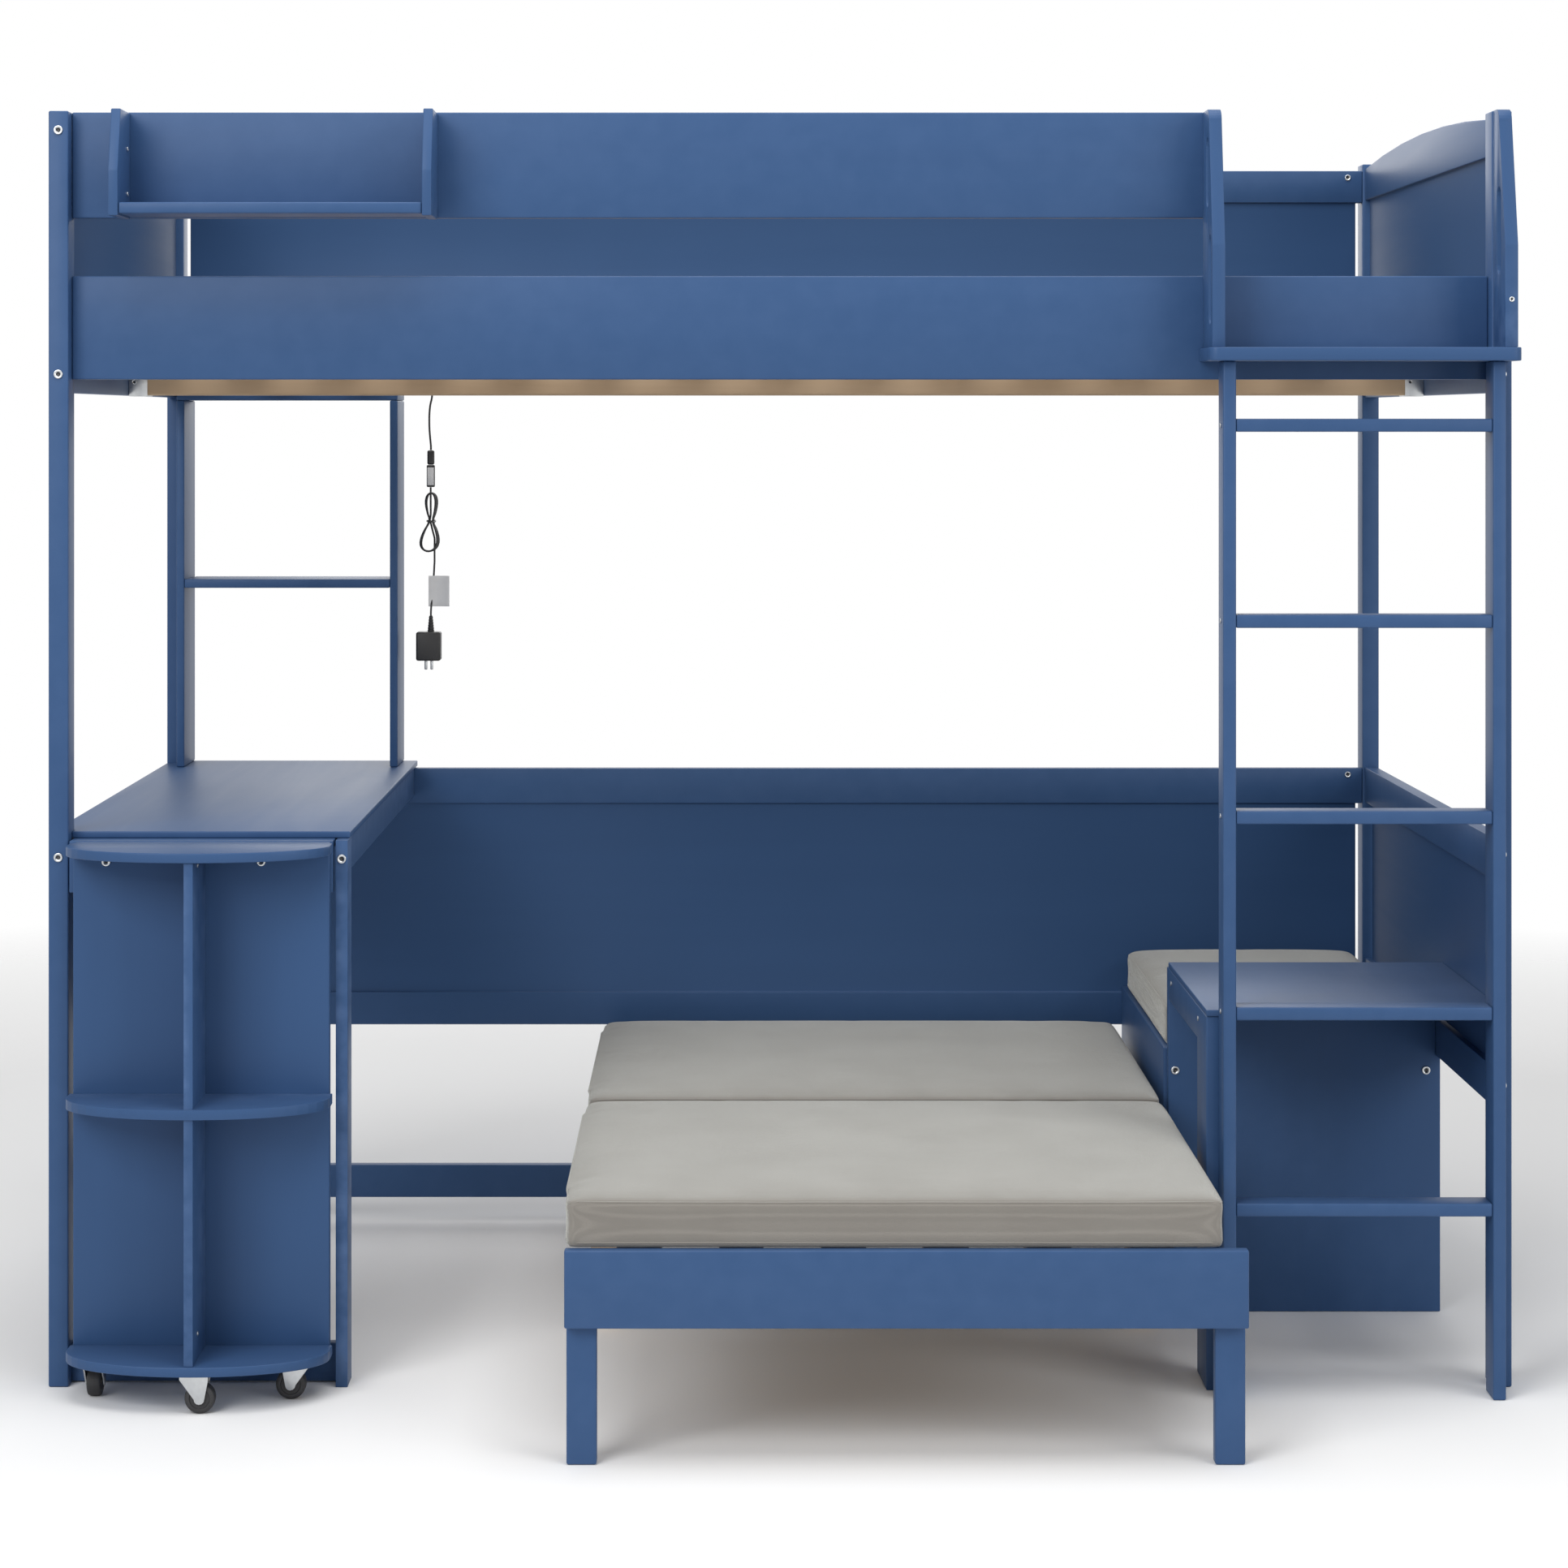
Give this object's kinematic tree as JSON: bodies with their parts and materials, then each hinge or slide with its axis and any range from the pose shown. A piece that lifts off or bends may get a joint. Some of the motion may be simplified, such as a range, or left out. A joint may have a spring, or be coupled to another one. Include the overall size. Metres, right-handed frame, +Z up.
{
  "type": "loft bed",
  "caption": "Painted loft bed with ladder and hand rails, a desk with hutch and rolling rounded shelves, a bench with side table, and a pull-out lower bed with cushions.",
  "frame": {"origin": "on the floor, below the middle of the whole bed's outline with its lower bed pulled out", "axes": "+X along the bed towards the ladder, +Y towards the back, +Z up"},
  "size_m": [1.9838, 1.423, 1.741],
  "materials": {
    "blue_paint": "satin blue paint on wood",
    "pine": "bare pine",
    "velvet": "grey velvet",
    "zinc": "zinc plated",
    "black_rubber": "satin",
    "black_plastic": "satin"
  },
  "bodies": {
    "frame": {"front_left_post": "blue_paint", "front_right_post": "blue_paint", "rear_left_post": "blue_paint", "rear_right_post": "blue_paint", "guard_rail": "blue_paint", "front_side_rail": "blue_paint", "rear_guard": "blue_paint", "left_end": "blue_paint", "right_end": "blue_paint", "centre_beam": "pine", "left_loft_slats": "pine", "right_loft_slats": "pine", "ladder_left_rail": "blue_paint", "ladder_right_rail": "blue_paint", "rung_1": "blue_paint", "rung_2": "blue_paint", "rung_3": "blue_paint", "rung_4": "blue_paint", "rung_5": "blue_paint", "ladder_platform": "blue_paint", "left_handrail": "blue_paint", "right_handrail": "blue_paint", "guard_shelf_left_side": "blue_paint", "guard_shelf_right_side": "blue_paint", "guard_shelf_board": "blue_paint", "desktop": "blue_paint", "desk_left_apron": "blue_paint", "desk_leg": "blue_paint", "hutch_left_upright": "blue_paint", "hutch_right_upright": "blue_paint", "hutch_shelf": "blue_paint", "hutch_top": "blue_paint", "lower_back": "blue_paint", "floor_stretcher": "blue_paint", "lower_end": "blue_paint", "bench_end_panel": "blue_paint", "bench_seat": "blue_paint", "table_top": "blue_paint", "table_side": "blue_paint", "fixed_bed_base": "pine", "front_cushion": "velvet", "rear_cushion": "velvet", "bench_cushion": "velvet", "led_lead": "black_plastic", "led_controller": "black_plastic", "cord_hank": "black_plastic", "led_tail": "black_plastic", "power_adapter": "black_plastic"},
    "pull_out_bed": {"pull_out_base": "blue_paint"},
    "pull_out_desk": {"cart_back": "blue_paint", "cart_bottom_shelf": "blue_paint", "cart_middle_shelf": "blue_paint", "cart_top_shelf": "blue_paint", "sliding_desktop": "blue_paint"},
    "left_swivel": {"left_caster_fork": "zinc"},
    "right_swivel": {"right_caster_fork": "zinc"},
    "front_swivel": {"front_caster_fork": "zinc"},
    "left_wheel": {"left_caster_wheel": "black_rubber"},
    "right_wheel": {"right_caster_wheel": "black_rubber"},
    "front_wheel": {"front_caster_wheel": "black_rubber"}
  },
  "joints": [
    {"name": "bed_slide", "type": "slide", "parent": "frame", "child": "pull_out_bed", "axis": [0, 1, 0], "range_m": [0, 0.3]},
    {"name": "desk_slide", "type": "slide", "parent": "frame", "child": "pull_out_desk", "axis": [0, -1, 0], "range_m": [0, 0.5]},
    {"name": "left_caster_swivel", "type": "hinge", "parent": "pull_out_desk", "child": "left_swivel", "pos_m": [-0.9209, -0.386, 0.0497], "axis": [0, 0, 1], "continuous": true},
    {"name": "right_caster_swivel", "type": "hinge", "parent": "pull_out_desk", "child": "right_swivel", "pos_m": [-0.6419, -0.386, 0.0497], "axis": [0, 0, 1], "continuous": true},
    {"name": "front_caster_swivel", "type": "hinge", "parent": "pull_out_desk", "child": "front_swivel", "pos_m": [-0.7814, -0.4555, 0.0497], "axis": [0, 0, 1], "continuous": true},
    {"name": "left_wheel_spin", "type": "hinge", "parent": "left_swivel", "child": "left_wheel", "pos_m": [-0.9209, -0.372, 0.02], "axis": [1, 0, 0], "continuous": true},
    {"name": "right_wheel_spin", "type": "hinge", "parent": "right_swivel", "child": "right_wheel", "pos_m": [-0.6559, -0.386, 0.02], "axis": [0, 1, 0], "continuous": true},
    {"name": "front_wheel_spin", "type": "hinge", "parent": "front_swivel", "child": "front_wheel", "pos_m": [-0.7674, -0.4555, 0.02], "axis": [0, 1, 0], "continuous": true}
  ]
}
